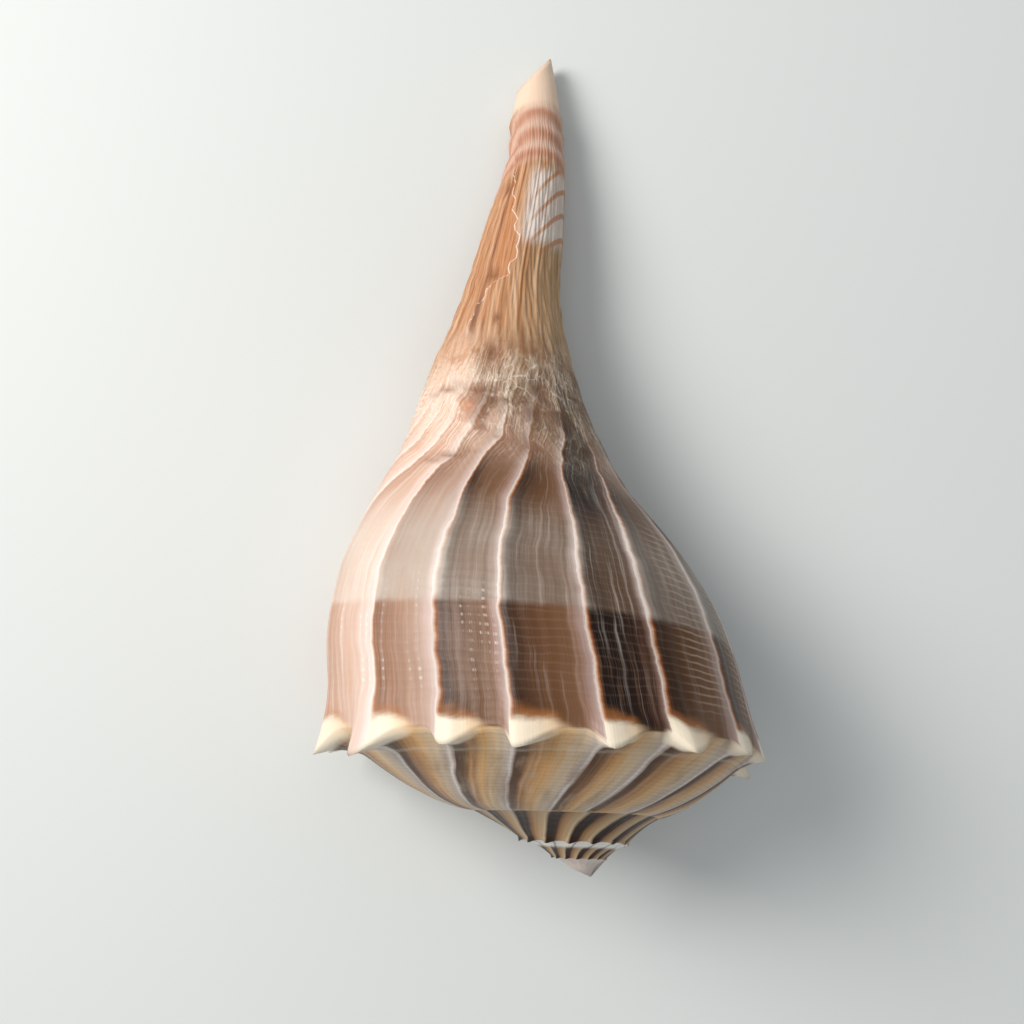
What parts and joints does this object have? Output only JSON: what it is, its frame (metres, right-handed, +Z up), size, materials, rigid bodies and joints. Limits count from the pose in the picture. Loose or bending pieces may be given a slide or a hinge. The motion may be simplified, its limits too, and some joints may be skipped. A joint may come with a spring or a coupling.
{
  "type": "lightning whelk shell",
  "caption": "Lightning whelk shell, a left-handed sea snail shell with a spined shoulder and a long open canal, lying on its aperture.",
  "frame": {"origin": "on the surface that the shell lies on, under the middle of its box", "axes": "+Z up, +Y towards the tip of the canal, -Y towards the apex, +X towards the side away from the outer lip, so the lip is at -X"},
  "size_m": [0.1106, 0.22, 0.0879],
  "materials": {
    "shell": "satin, with brown streaks along the lines of growth, pale ridges, cream spines and an orange-tan canal"
  },
  "bodies": {
    "root": {"whelk_shell": "shell"}
  },
  "joints": []
}
